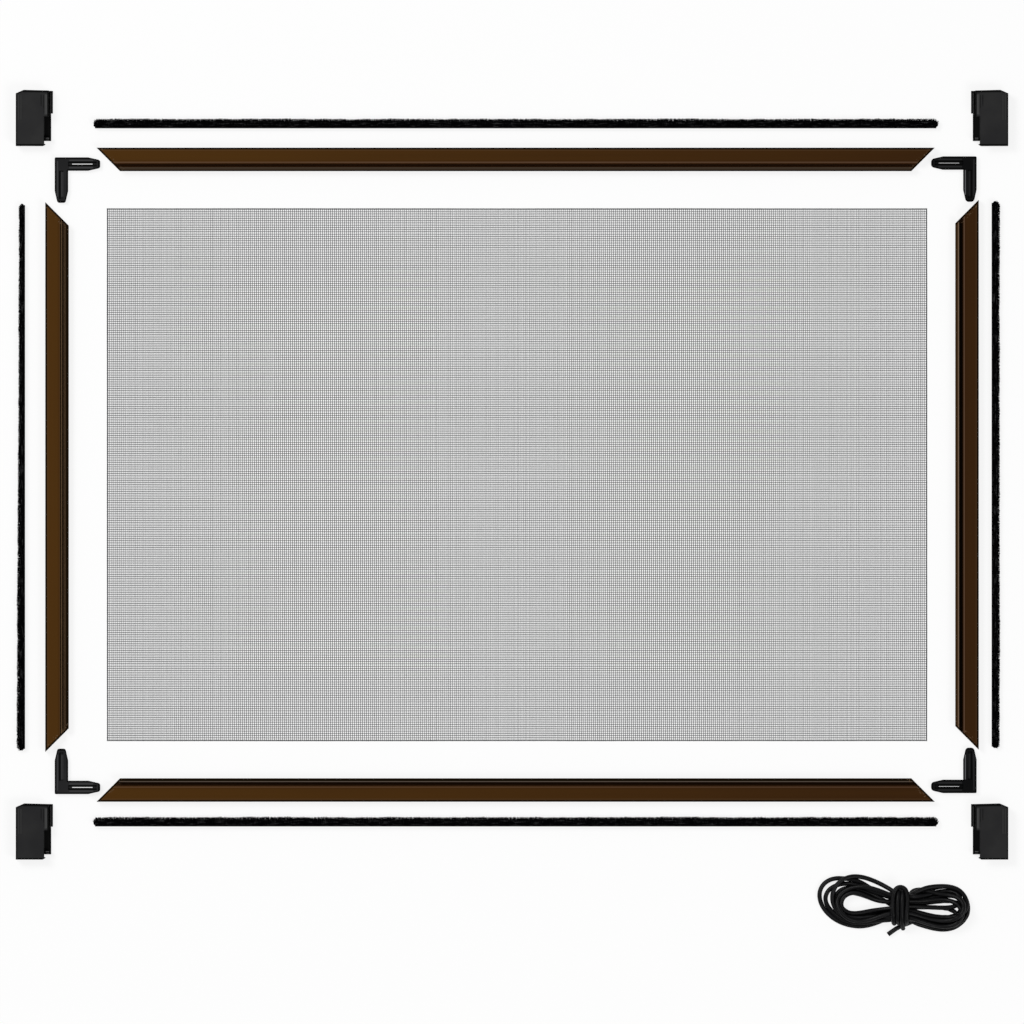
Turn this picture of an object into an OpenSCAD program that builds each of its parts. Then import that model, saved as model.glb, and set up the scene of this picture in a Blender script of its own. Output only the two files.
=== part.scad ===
// Window insect screen kit, laid out flat in the order in which it goes together:
// four mitred rails, corner connectors, hanging brackets, pile seals, screen cloth
// and the rubber cord that holds the cloth. +X runs along the long rails, +Y up the
// layout, +Z away from the surface that the pieces lie on. The origin is the middle
// of the layout, on that surface.

/* [Rails] */
// Length of the long rails along their outer edge
rail_long = 915; // [500:5:1400]
// Length of the short rails along their outer edge
rail_short = 600; // [400:5:1200]
// Depth of a rail from its back to its front face
rail_depth = 11; // [10.5:0.5:15]
// Wall of the extrusion
rail_wall = 1.2; // [1:0.1:1.5]
// Width of the hollow chamber that takes the corner connectors
chamber_w = 14.8; // [13:0.2:18]
// Width of the cord groove inside its lips
groove_w = 5; // [4.6:0.1:6]
// Width of the mouth of the cord groove
groove_mouth = 3.8; // [3.2:0.1:4.4]
// Height of the cord groove, mouth included
groove_h = 6.6; // [6:0.1:7.5]
// How far the cord groove's lips lie below the front face
groove_step = 0.9; // [0.5:0.1:1.5]
// Overhang of the rail's inner lip past the groove's wall
inner_lip = 2.2; // [1:0.1:3]

/* [Pile seals] */
// Width of the woven backing strip
backing_w = 6.8; // [6:0.1:7.6]
// Thickness of the woven backing strip
backing_t = 0.9; // [0.7:0.1:1.1]
// Height of the pile above its backing
pile_h = 8.2; // [5:0.1:12]
// Thickness of the pile at its root
pile_root_t = 4.2; // [3:0.1:5]
// Thickness of the pile at its tips
pile_tip_t = 5.4; // [4:0.1:6.4]
// Length of a long seal over its rail's length
seal_over_long = 7; // [0:1:20]
// Length of a short seal under its rail's length
seal_under_short = 3; // [0:1:20]

/* [Corner connectors] */
// Length of a connector's leg from the outer corner
leg_len = 49.6; // [40:0.2:70]
// Width of a leg at its tip
leg_tip_w = 8.6; // [6:0.2:10]
// Length of the taper at the end of a leg
leg_taper = 13; // [8:0.5:18]
// Width of the channel between a leg's two ribs
leg_channel_w = 4.4; // [3:0.1:6]
// Thickness of the web between the ribs
leg_web_t = 2; // [1.6:0.1:3]
// Width of the slot through the web of the horizontal leg
leg_slot_w = 1.2; // [1:0.1:2.5]

/* [Hanging brackets] */
// Width of a bracket
bracket_w = 40; // [34:0.5:60]
// Height of a bracket
bracket_h = 61; // [50:0.5:90]
// Wall of the moulding
bracket_wall = 2.6; // [2:0.1:3.4]

/* [Screen cloth] */
// How far the cloth reaches past the middle of the side rails' cord grooves
cloth_spare_x = 10.3; // [4:0.1:16]
// How far the cloth reaches past the middle of the top and bottom rails' cord grooves
cloth_spare_y = 10.7; // [4:0.1:16]
// Distance between drawn threads that run up the cloth
warp_pitch = 8.76; // [6:0.01:16]
// Distance between drawn threads that run across the cloth
weft_pitch = 9.8; // [6:0.01:16]
// Thickness of a thread
thread_t = 0.45; // [0.3:0.05:0.8]

/* [Cord] */
// Diameter of the rubber cord
cord_d = 5; // [4:0.1:6]

/* [Layout] */
// How far the side rails are drawn out of the frame, past a leg's length
draw_side = 2.4; // [0.5:0.1:60]
// How far the top and bottom rails are drawn out of the frame, past a leg's length
draw_top = 7.4; // [0.5:0.1:60]
// How far the tips of the horizontal legs lie inside the ends of the long rails
tip_inside_x = 3.7; // [2.5:0.1:10]
// How far the tips of the vertical legs lie inside the ends of the short rails
tip_inside_y = 1.9; // [0:0.1:3.5]
// Distance from a side rail's outer edge to the outer side of a bracket
draw_bracket_x = 32; // [20:0.5:100]
// Distance from a connector to the bracket above or below it
draw_bracket_y = 11.3; // [5:0.1:80]
// Distance from the left rail to the middle of its seal
seal_gap_left = 27; // [12:0.5:27.5]
// Distance from the right rail to the middle of its seal
seal_gap_right = 19; // [12:0.5:27.5]
// Distance from the top rail to the middle of its seal
seal_gap_top = 26; // [12:0.5:40]
// Distance from the bottom rail to the middle of its seal
seal_gap_bottom = 22.5; // [12:0.5:40]
// Sideways offset of the long rails and connectors in the layout
layout_shift = 4; // [0:0.5:4.5]
// How far the left rail and its seal lie below the right ones
left_drop = 2.5; // [0:0.1:3]
// How far the left connectors lie below the right ones
connector_drop = 1.1; // [0:0.1:1.5]
// Sideways offset of the screen cloth in the layout
cloth_shift = 5.5; // [0:0.5:7]
// Waist of the tied cord, to the right of the origin
hank_x = 425; // [-425:1:430]
// Waist of the tied cord, below the bottom seal
hank_drop = 92; // [60:1:200]

/* [Hidden] */

$fn = 48;
overrun = 1;

// Rail: the stack of walls from back to front sets the chamber's height
back_lip_t = 1;
seal_slot_play = 0.4;
seal_slot_w = backing_w + seal_slot_play;
seal_slot_h = backing_t + seal_slot_play;
seal_mouth_w = pile_tip_t;
divider_t = 1;
chamber_z = back_lip_t + seal_slot_h + divider_t;
chamber_h = rail_depth - rail_wall - chamber_z;
box_w = chamber_w + 2 * rail_wall;
seal_mid = box_w / 2;
groove_top = rail_depth - groove_step;
groove_lip_t = 1.2;
groove_lip = (groove_w - groove_mouth) / 2;
groove_floor = groove_top - groove_h;
rail_face = box_w + groove_w + rail_wall + inner_lip;
edge_bevel = 1.3;
groove_bevel = 0.4;
line_groove_w = 0.5;
line_groove_h = 0.3;
line_groove_share = 0.1;

// Connector: a sliding fit in the chamber
connector_play = 0.2;
leg_w = chamber_w - connector_play;
leg_t = chamber_h - connector_play;
leg_lead_in = 2;
leg_lead_drop = 1.4;
leg_corner_r = 1.4;
leg_edge = 1.2;
leg_end_wall = 4;
leg_slot_len_share = 0.72;

// Bracket: a slot that slides over the rail's box, and a lip that hooks round it
bracket_play = 0.3;
bracket_slot_w = box_w + bracket_play;
bracket_slot_h = rail_depth + bracket_play;
bracket_d = bracket_slot_h + 2 * bracket_wall;
bracket_rear_over_front = 4;
bracket_front_step = 5.5;
bracket_rear_step = 1.9;
bracket_front_w = bracket_w - bracket_rear_over_front;
bracket_front_low_w = bracket_front_w - bracket_front_step;
bracket_rear_low_w = bracket_w - bracket_rear_step;
bracket_front_step_y = 32;
bracket_rear_step_y = 35.6;
bracket_notch_h = 5.5;
bracket_tail_over = 1.7;
bracket_tail_under = 1.2;
bracket_tail_h = 1.6;
bracket_tail_t = 0.8;
bracket_corner_w = 8.8;
bracket_corner_h = 3.8;
bracket_top_fall = 0.8;
bracket_bevel = 2.4;
bracket_edge = 1.5;
bracket_lip_w = 2.2;
bracket_lip_h = 2;
bracket_lip_tip_h = 0.5;
bracket_ledge_t = 1.3;
bracket_ledge_pitch = 2.4;
bracket_ledge_z = 8;
bracket_rib_t = 1.8;
bracket_rib_shares = [0.36, 0.68];

// Low beads and fine grooves on the bracket's face, all ending short of its top
bracket_bead_h = 0.35;
bracket_bead_w = 1.6;
bracket_bead_pitch = 2.5;
bracket_bead_low = 28;
bracket_bead_short = 5.5;
bracket_inner_bead_low = 34;
bracket_groove_w = 1.1;
bracket_groove_d = 0.4;
bracket_groove_pitch = 3.3;
bracket_groove_lows = [36, 45.5];

// Seals
seal_long = rail_long + seal_over_long;
seal_short = rail_short - seal_under_short;
seal_h = backing_t + pile_h;
pile_end_r = 3;

// Cloth: one wall with raised threads on both sides and a grid of open cells
groove_mid = box_w + groove_w / 2;
cloth_w = rail_long - 2 * (groove_mid - cloth_spare_x);
cloth_h = rail_short - 2 * (groove_mid - cloth_spare_y);
cloth_wall_t = thread_t / 2;
cloth_wall_z = thread_t * 2 / 3;
cloth_hole_cols = 15;
cloth_hole_rows = 8;

// Tied cord: two lobes of loops, either side of the turns wrapped round their waist
lobe_left = [-61, 4.5];
lobe_left_r = 30;
lobe_left_eye_r = 8;
lobe_right = [49, -1];
lobe_right_r = 26;
lobe_right_eye_r = 4;
lobe_eye_share = 0.92;
lobe_eye_tip_r = 1.5;
hank_waist_h = 31;
hank_wrap_w = 24;
hank_wrap_h = 41;
hank_lie_h = 3 * cord_d;
hank_wrap_lie_h = 4 * cord_d;

// Places in the layout, measured from its middle
half_x = rail_long / 2;
half_y = rail_short / 2;
side_rail_x = half_x + leg_len + draw_side;
top_rail_y = half_y + leg_len + draw_top;
connector_x = half_x + leg_len - tip_inside_x;
connector_y = half_y + leg_len - tip_inside_y;
bracket_x = side_rail_x + draw_bracket_x;
bracket_y = connector_y + draw_bracket_y + bracket_h;

module rail_section() {
    difference() {
        union() {
            // hollow box behind the flat face
            polygon([
                [0, 0], [box_w, 0], [box_w, rail_depth - groove_bevel],
                [box_w - groove_bevel, rail_depth], [edge_bevel, rail_depth],
                [0, rail_depth - edge_bevel]
            ]);
            // bed of the cord groove, its far wall and the inner lip
            translate([box_w - rail_wall, groove_floor - rail_wall])
                square([groove_w + 2 * rail_wall, rail_wall]);
            translate([box_w + groove_w, groove_floor - rail_wall])
                square([rail_wall, groove_h + rail_wall]);
            translate([box_w + groove_w - groove_lip, groove_top - groove_lip_t])
                square([groove_lip + rail_wall + inner_lip, groove_lip_t]);
            translate([box_w - rail_wall, groove_top - groove_lip_t])
                square([rail_wall + groove_lip, groove_lip_t]);
        }
        translate([rail_wall, chamber_z]) square([chamber_w, chamber_h]);
        translate([seal_mid - seal_slot_w / 2, back_lip_t]) square([seal_slot_w, seal_slot_h]);
        translate([seal_mid - seal_mouth_w / 2, -overrun])
            square([seal_mouth_w, back_lip_t + 2 * overrun]);
        translate([box_w * line_groove_share, rail_depth - line_groove_h])
            square([line_groove_w, line_groove_h + overrun]);
    }
}

// A rail along X with its outer edge on y = 0 and both ends mitred
module rail(length) {
    color("#40281a")
    intersection() {
        translate([-length / 2, 0, 0]) mirror([0, 1, 0]) rotate([90, 0, 90])
            linear_extrude(length) rail_section();
        translate([0, 0, -overrun]) linear_extrude(rail_depth + 2 * overrun) polygon([
            [-length / 2 - overrun, overrun],
            [length / 2 + overrun, overrun],
            [length / 2 - rail_face - overrun, -rail_face - overrun],
            [-length / 2 + rail_face + overrun, -rail_face - overrun]
        ]);
    }
}

// A cut that breaks the edge between two points of an outline
module edge_cut(from, to, size) {
    run = to - from;
    side = size * sqrt(2);
    translate([from[0], from[1], 0]) rotate([0, 0, atan2(run[1], run[0])]) rotate([45, 0, 0])
        translate([-overrun, -side / 2, -side / 2])
            cube([norm(run) + 2 * overrun, side, side]);
}

// Outline of a leg along +X, with the outer corner at the origin
leg_inset = (leg_w - leg_tip_w) / 2;
leg_upper_taper = [[leg_len - leg_taper, 0], [leg_len, -leg_inset]];
leg_lower_taper = [[leg_len, -leg_w + leg_inset], [leg_len - leg_taper, -leg_w]];

module leg_outline() {
    polygon(concat([[0, 0]], leg_upper_taper, leg_lower_taper, [[0, -leg_w]]));
}

// Side of a leg, thinned at its tip to start into the chamber
module leg_side() {
    polygon([
        [0, 0], [leg_len - leg_lead_in, 0], [leg_len, leg_lead_drop],
        [leg_len, leg_t - leg_lead_drop], [leg_len - leg_lead_in, leg_t], [0, leg_t]
    ]);
}

// Section across a leg, with its four long edges broken
module leg_section() {
    polygon([
        [leg_edge, 0], [leg_w - leg_edge, 0], [leg_w, leg_edge], [leg_w, leg_t - leg_edge],
        [leg_w - leg_edge, leg_t], [leg_edge, leg_t], [0, leg_t - leg_edge], [0, leg_edge]
    ]);
}

module leg(through_slot) {
    channel_len = leg_len - leg_w - leg_end_wall;
    channel_d = (leg_t - leg_web_t) / 2;
    slot_len = channel_len * leg_slot_len_share;
    difference() {
        intersection() {
            linear_extrude(leg_t) leg_outline();
            translate([0, overrun, 0]) rotate([90, 0, 0])
                linear_extrude(leg_w + 2 * overrun) leg_side();
            mirror([0, 1, 0]) rotate([90, 0, 90]) linear_extrude(leg_len) leg_section();
        }
        for (z = [0, leg_t], edge = [leg_upper_taper, leg_lower_taper])
            translate([0, 0, z]) edge_cut(edge[0], edge[1], leg_edge);
        for (z = [-overrun, leg_t - channel_d])
            translate([leg_w, -(leg_w + leg_channel_w) / 2, z])
                cube([channel_len, leg_channel_w, channel_d + overrun]);
        if (through_slot)
            translate([leg_w + (channel_len - slot_len) / 2, -(leg_w + leg_slot_w) / 2, -overrun])
                cube([slot_len, leg_slot_w, leg_t + 2 * overrun]);
    }
}

// A connector with its outer corner at the origin, legs along +X and -Y
module connector() {
    color("#1d1d1d")
    difference() {
        union() {
            leg(true);
            mirror([1, 1, 0]) leg(false);
        }
        for (z = [0, leg_t]) translate([0, 0, z]) {
            edge_cut([0, 0], [leg_w, 0], leg_edge);
            edge_cut([0, -leg_w], [0, 0], leg_edge);
        }
        difference() {
            translate([-overrun, -leg_corner_r, -overrun])
                cube([leg_corner_r + overrun, leg_corner_r + overrun, leg_t + 2 * overrun]);
            translate([leg_corner_r, -leg_corner_r, -2 * overrun])
                cylinder(h = leg_t + 4 * overrun, r = leg_corner_r);
        }
    }
}

// Outline of a bracket's foot, with the pointed tail under the open corner, and of its head
bracket_foot = [
    [0, 0], [bracket_front_low_w - bracket_tail_under, 0],
    [bracket_front_low_w + bracket_tail_over, bracket_tail_h],
    [bracket_front_low_w, bracket_tail_h + bracket_tail_t]
];
bracket_head = [
    [bracket_w, bracket_h - bracket_top_fall], [bracket_corner_w, bracket_h],
    [0, bracket_h - bracket_corner_h]
];

module bracket_rear_outline() {
    polygon(concat(bracket_foot, [
        [bracket_front_low_w, bracket_notch_h], [bracket_rear_low_w, bracket_notch_h],
        [bracket_rear_low_w, bracket_rear_step_y], [bracket_w, bracket_rear_step_y]
    ], bracket_head));
}

module bracket_front_outline() {
    intersection() {
        polygon(concat(bracket_foot, [
            [bracket_front_low_w, bracket_front_step_y], [bracket_w, bracket_front_step_y]
        ], bracket_head));
        square([bracket_front_w, bracket_h]);
    }
}

// Cuts that break the edges of the front face, the top one wider
module bracket_edge_cuts() {
    edge_cut([0, 0], bracket_foot[1], bracket_edge);
    edge_cut([0, 0], bracket_head[2], bracket_edge);
    edge_cut(bracket_head[2], bracket_head[1], bracket_edge);
    edge_cut(bracket_head[1], bracket_head[0], bracket_bevel);
    edge_cut([bracket_front_w, bracket_front_step_y], [bracket_front_w, bracket_h], bracket_edge);
}

// Beads on the front face: two along the outer edge, one along the inner edge
module bracket_beads() {
    top_y = bracket_h - bracket_bead_short;
    for (x = [bracket_bead_pitch, 2 * bracket_bead_pitch])
        translate([x, bracket_bead_low, -overrun])
            cube([bracket_bead_w, top_y - bracket_bead_low, bracket_bead_h + overrun]);
    translate([bracket_front_w - bracket_edge - bracket_bead_w, bracket_inner_bead_low, -overrun])
        cube([bracket_bead_w, top_y - bracket_inner_bead_low, bracket_bead_h + overrun]);
}

// Fine grooves in the front face, each further in than the last
module bracket_grooves() {
    top_y = bracket_h - bracket_bead_short;
    for (i = [0:len(bracket_groove_lows) - 1])
        translate([
            bracket_front_low_w - i * bracket_groove_pitch, bracket_groove_lows[i], -bracket_groove_d
        ]) cube([bracket_groove_w, top_y - bracket_groove_lows[i], bracket_groove_d + overrun]);
}

// Lip along the rear plate's edge, sloped on its outer side
module bracket_lip() {
    translate([bracket_w, bracket_rear_step_y, bracket_wall]) rotate([90, 0, 0]) mirror([0, 0, 1])
        linear_extrude(bracket_h - bracket_top_fall - bracket_rear_step_y) polygon([
            [-bracket_lip_w, -bracket_lip_tip_h], [0, -bracket_lip_tip_h], [0, bracket_lip_tip_h],
            [-bracket_lip_w, bracket_lip_h]
        ]);
}

// A left-hand bracket, its outer lower corner at the origin and its slot open to +X
module bracket() {
    slot_x = bracket_w - bracket_lip_w - bracket_slot_w;
    body_w = slot_x - bracket_wall;
    core_w = body_w - bracket_wall;
    core_h = bracket_h - bracket_corner_h - 2 * bracket_wall;
    ledge_w = bracket_rear_low_w - bracket_front_low_w;
    color("#2b2b2b") {
        difference() {
            union() {
                linear_extrude(bracket_wall) bracket_rear_outline();
                linear_extrude(bracket_d) bracket_front_outline();
                translate([0, 0, bracket_d]) bracket_beads();
            }
            // slot over the rail, closed at the top end
            translate([slot_x, -overrun, bracket_wall])
                cube([bracket_w, bracket_h - bracket_wall + overrun, bracket_slot_h]);
            // the body is cored out from the back
            translate([bracket_wall, bracket_wall, -overrun])
                cube([core_w, core_h, bracket_d - bracket_wall + overrun]);
            translate([0, 0, bracket_d]) bracket_edge_cuts();
            translate([0, 0, bracket_d]) bracket_grooves();
        }
        for (share = bracket_rib_shares)
            translate([bracket_wall, bracket_wall + core_h * share, 0])
                cube([core_w, bracket_rib_t, bracket_d - bracket_wall]);
        bracket_lip();
        // two bars at the foot of the open corner
        for (y = [bracket_notch_h, bracket_notch_h + bracket_ledge_pitch])
            translate([bracket_front_low_w, y, 0]) cube([ledge_w, bracket_ledge_t, bracket_ledge_z]);
    }
}

// Backing strip of a seal along X, its outer side on y = 0, pile side on +Y
module seal_backing(length) {
    color("#141414") translate([-length / 2, 0, 0]) cube([length, backing_t, backing_w]);
}

module seal_pile(length) {
    mid = backing_w / 2;
    color("#0a0a0a")
    intersection() {
        translate([-length / 2, backing_t, 0]) rotate([90, 0, 90]) linear_extrude(length) polygon([
            [0, mid - pile_root_t / 2], [pile_h, mid - pile_tip_t / 2],
            [pile_h, mid + pile_tip_t / 2], [0, mid + pile_root_t / 2]
        ]);
        translate([0, 0, -overrun]) linear_extrude(backing_w + 2 * overrun) union() {
            translate([-length / 2, -overrun]) square([length, seal_h - pile_end_r + overrun]);
            translate([-length / 2 + pile_end_r, 0]) square([length - 2 * pile_end_r, seal_h + overrun]);
            for (side = [-1, 1])
                translate([side * (length / 2 - pile_end_r), seal_h - pile_end_r])
                    circle(r = pile_end_r);
        }
    }
}

module screen_cloth() {
    warps = floor(cloth_w / warp_pitch);
    wefts = floor(cloth_h / weft_pitch);
    warp_margin = (cloth_w - (warps - 1) * warp_pitch) / 2;
    weft_margin = (cloth_h - (wefts - 1) * weft_pitch) / 2;
    hole_w = warp_pitch - 2 * thread_t;
    hole_h = weft_pitch - 2 * thread_t;
    col_step = floor(warps / cloth_hole_cols);
    row_step = floor(wefts / cloth_hole_rows);
    first_col = floor((warps - 1 - (cloth_hole_cols - 1) * col_step) / 2);
    first_row = floor((wefts - 1 - (cloth_hole_rows - 1) * row_step) / 2);
    color("#5d5d5d")
    translate([cloth_shift - cloth_w / 2, -cloth_h / 2, 0]) difference() {
        union() {
            // wall and the threads that run up it, drawn as one comb
            translate([0, cloth_h, 0]) rotate([90, 0, 0]) linear_extrude(cloth_h) polygon(concat(
                [[0, cloth_wall_z]],
                [[cloth_w, cloth_wall_z], [cloth_w, cloth_wall_z + cloth_wall_t]],
                [for (i = [warps - 1:-1:0]) let (x = warp_margin + i * warp_pitch) each [
                    [x + thread_t / 2, cloth_wall_z + cloth_wall_t],
                    [x + thread_t / 2, cloth_wall_z + cloth_wall_t + thread_t / 2],
                    [x - thread_t / 2, cloth_wall_z + cloth_wall_t + thread_t / 2],
                    [x - thread_t / 2, cloth_wall_z + cloth_wall_t]
                ]],
                [[0, cloth_wall_z + cloth_wall_t]]
            ));
            for (j = [0:wefts - 1])
                translate([0, weft_margin + j * weft_pitch - thread_t / 2, 0])
                    cube([cloth_w, thread_t, cloth_wall_z + cloth_wall_t / 2]);
        }
        for (i = [0:cloth_hole_cols - 1], j = [0:cloth_hole_rows - 1])
            translate([
                warp_margin + (first_col + i * col_step) * warp_pitch + thread_t,
                weft_margin + (first_row + j * row_step) * weft_pitch + thread_t,
                -overrun
            ]) cube([hole_w, hole_h, 2 * overrun + thread_t]);
    }
}

// One lobe of the hank: it narrows to the waist, and so does the eye through it
module lobe(middle, radius, eye_radius) {
    difference() {
        hull() {
            translate(middle) circle(r = radius);
            square([hank_wrap_w, hank_waist_h], center = true);
        }
        hull() {
            translate(middle * lobe_eye_share) circle(r = eye_radius);
            translate([sign(middle[0]) * hank_wrap_w, 0]) circle(r = lobe_eye_tip_r);
        }
    }
}

// Outer shape of the cord, wound in a two-lobed hank and wrapped round its waist
module spline_cord() {
    color("#111111") translate([hank_x, 0, 0]) union() {
        linear_extrude(hank_lie_h) union() {
            lobe(lobe_left, lobe_left_r, lobe_left_eye_r);
            lobe(lobe_right, lobe_right_r, lobe_right_eye_r);
        }
        translate([-hank_wrap_w / 2, -hank_wrap_h / 2, 0])
            cube([hank_wrap_w, hank_wrap_h, hank_wrap_lie_h]);
    }
}

module place_rail(side) {
    if (side == "top") translate([layout_shift, top_rail_y, 0]) rail(rail_long);
    if (side == "bottom") translate([layout_shift, -top_rail_y, 0]) rotate([0, 0, 180]) rail(rail_long);
    if (side == "left") translate([-side_rail_x, -left_drop, 0]) rotate([0, 0, 90]) rail(rail_short);
    if (side == "right") translate([side_rail_x, 0, 0]) rotate([0, 0, -90]) rail(rail_short);
}

module place_seal(side) {
    if (side == "top")
        translate([layout_shift, top_rail_y + seal_gap_top - seal_h / 2, 0]) children();
    if (side == "bottom")
        translate([layout_shift, -top_rail_y - seal_gap_bottom - seal_h / 2, 0]) children();
    if (side == "left")
        translate([-side_rail_x - seal_gap_left + seal_h / 2, -left_drop, 0])
            rotate([0, 0, 90]) children();
    if (side == "right")
        translate([side_rail_x + seal_gap_right - seal_h / 2, 0, 0]) rotate([0, 0, -90]) children();
}

module place_connector(sx, sy) {
    drop = sx < 0 ? connector_drop : 0;
    translate([layout_shift + sx * connector_x, sy * connector_y - drop, 0])
        mirror([sx > 0 ? 1 : 0, 0, 0]) mirror([0, sy < 0 ? 1 : 0, 0]) connector();
}

module place_bracket(sx, sy) {
    translate([sx * bracket_x, sy > 0 ? bracket_y - bracket_h : -bracket_y, 0])
        mirror([sx > 0 ? 1 : 0, 0, 0]) bracket();
}

place_rail("top");  // rail_top
place_rail("bottom");  // rail_bottom
place_rail("left");  // rail_left
place_rail("right");  // rail_right
place_connector(-1, 1);  // connector_top_left
place_connector(1, 1);  // connector_top_right
place_connector(-1, -1);  // connector_bottom_left
place_connector(1, -1);  // connector_bottom_right
place_bracket(-1, 1);  // bracket_top_left
place_bracket(1, 1);  // bracket_top_right
place_bracket(-1, -1);  // bracket_bottom_left
place_bracket(1, -1);  // bracket_bottom_right
place_seal("top") seal_backing(seal_long);  // seal_backing_top
place_seal("bottom") seal_backing(seal_long);  // seal_backing_bottom
place_seal("left") seal_backing(seal_short);  // seal_backing_left
place_seal("right") seal_backing(seal_short);  // seal_backing_right
place_seal("top") seal_pile(seal_long);  // seal_pile_top
place_seal("bottom") seal_pile(seal_long);  // seal_pile_bottom
place_seal("left") seal_pile(seal_short);  // seal_pile_left
place_seal("right") seal_pile(seal_short);  // seal_pile_right
screen_cloth();
translate([0, -top_rail_y - seal_gap_bottom - hank_drop, 0]) spline_cord();
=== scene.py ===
"""A window screen frame laid out flat as a kit of pieces, dressed for its photograph."""
import math

import bmesh
import bpy
import numpy as np
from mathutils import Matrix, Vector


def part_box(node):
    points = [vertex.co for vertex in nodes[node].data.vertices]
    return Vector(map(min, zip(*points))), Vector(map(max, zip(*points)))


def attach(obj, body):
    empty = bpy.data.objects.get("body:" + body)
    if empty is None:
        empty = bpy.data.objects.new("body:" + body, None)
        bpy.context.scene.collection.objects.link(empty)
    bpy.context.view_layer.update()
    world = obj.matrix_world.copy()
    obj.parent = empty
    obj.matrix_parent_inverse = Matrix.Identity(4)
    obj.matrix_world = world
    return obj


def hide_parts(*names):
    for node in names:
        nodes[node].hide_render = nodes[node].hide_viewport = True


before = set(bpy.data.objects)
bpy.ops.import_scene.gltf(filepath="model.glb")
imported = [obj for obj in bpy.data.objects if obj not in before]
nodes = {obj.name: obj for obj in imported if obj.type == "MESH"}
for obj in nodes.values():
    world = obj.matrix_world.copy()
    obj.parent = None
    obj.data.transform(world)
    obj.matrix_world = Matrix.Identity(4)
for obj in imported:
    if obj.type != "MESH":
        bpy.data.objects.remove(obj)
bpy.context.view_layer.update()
scene = bpy.context.scene
# Millimetres in a metre
MM = 1000.0
SIDES = ("top", "bottom", "left", "right")
# The axis that each side's pieces run along: 0 for X and 1 for Y
RUNS = {"top": 0, "bottom": 0, "left": 1, "right": 1}
CORNERS = ("top_left", "top_right", "bottom_left", "bottom_right")
# Points closer than this are one point
SAME_POINT = 1e-6


def add_object(name, data):
    """A new object at the origin of the scene."""
    thing = bpy.data.objects.new(name, data)
    scene.collection.objects.link(thing)
    return thing


def takes_over(piece, node):
    """The piece rides on the one body, and the CAD node that it stands in for is hidden."""
    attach(piece, "root")
    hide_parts(node)


def made_plain(thing, modifier):
    """What the modifier makes of the thing becomes its own mesh."""
    bpy.context.view_layer.update()
    ready = thing.evaluated_get(bpy.context.evaluated_depsgraph_get())
    mesh = bpy.data.meshes.new_from_object(ready)
    thing.modifiers.remove(modifier)
    thing.data = mesh


def merged_copy(node, name, move):
    """A copy of a CAD node, with its doubled points merged and each point then moved."""
    copy = bmesh.new()
    copy.from_mesh(nodes[node].data)
    bmesh.ops.remove_doubles(copy, verts=copy.verts, dist=SAME_POINT)
    for vertex in copy.verts:
        move(vertex.co)
    mesh = bpy.data.meshes.new(name)
    copy.to_mesh(mesh)
    copy.free()
    return add_object(name, mesh)


# Camera: straight above and far off, so that every piece is seen square on
VIEW_CENTRE_Y = -0.0407
CAMERA_HEIGHT = 12.43
lens = bpy.data.cameras.new("camera")
lens.lens = 400
lens.sensor_width = 36
camera = add_object("camera", lens)
camera.location = (0, VIEW_CENTRE_Y, CAMERA_HEIGHT)
scene.camera = camera


# The tied cord, in millimetres from the middle of its waist
CORD_DIAMETER = 5.0
CORD_SIDES = 12
# Distance between the cord's points while it settles, and in the end
CORD_STEP = 4.0
FINE_STEP = 1.6
# Share of the way between two given points at which a smooth line is worked out
CURVE_STEP = 0.05
HANK_PLACE = (425.0, -471.5)
LEFT_OUTER = (
    (-22, 24.5), (-46, 33.5), (-73, 32), (-88.5, 22.5), (-90.5, 8.5), (-82, -5), (-64, -17),
    (-46, -23.2), (-24, -18.8),
)
LEFT_INNER = (
    (-22, 4.5), (-46, 15.3), (-60, 14.3), (-66.5, 9), (-67.5, 1), (-63, -7), (-54, -9.8),
    (-42, -7.5), (-22, -2.4),
)
# One row for each turn: how far out it lies, from 0 at the inner line to 1 at the outer one
LEFT_TURNS = (
    (0.10, 0.10, 0.10, 0.08, 0.05, 0.08, 0.15, 0.20, 0.20),
    (0.30, 0.55, 1.00, 1.00, 1.00, 0.97, 0.95, 0.95, 0.90),
    (0.45, 0.50, 0.55, 0.66, 0.76, 0.80, 0.80, 0.80, 0.70),
    (0.20, 0.25, 0.35, 0.28, 0.22, 0.25, 0.30, 0.50, 0.50),
    (0.00, 0.00, 0.00, 0.00, 0.00, 0.00, 0.00, 0.00, 0.05),
    (1.05, 1.03, 0.75, 0.45, 0.30, 0.35, 0.35, 0.35, 0.35),
    (0.55, 0.45, 0.20, 0.12, 0.14, 0.30, 0.50, 0.65, 0.60),
)
# One row for each turn: the lower run, the upper run and the far end
RIGHT_TURNS = (
    (-18, 6.5, 69), (-24.3, 22.8, 74), (-11.5, 12, 71), (-22.5, -1.7, 66), (-14, 22.2, 71.5),
    (-1, 17, 67), (-22, 7.5, 68), (-15, 12.5, 70.5),
)
# Places along the right lobe: the share of its full height that a run has there, and a rise
LOWER_RUN = ((13, 0.66, 0.0), (27, 0.82, 0.0), (42, 1.0, 0.0))
UPPER_RUN = ((42, 1.0, 0.0), (27, 0.8, 0.6), (13, 0.62, 1.2))
# The round far end of a turn: the angle that it starts at, and its points
CAP_START = 0.25
CAP_POINTS = 6
FREE_END = ((-13.5, -30, 2.5), (-9, -26, 2.5), (-4.5, -21.5, 2.5), (3, -17, 3.5))
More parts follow.
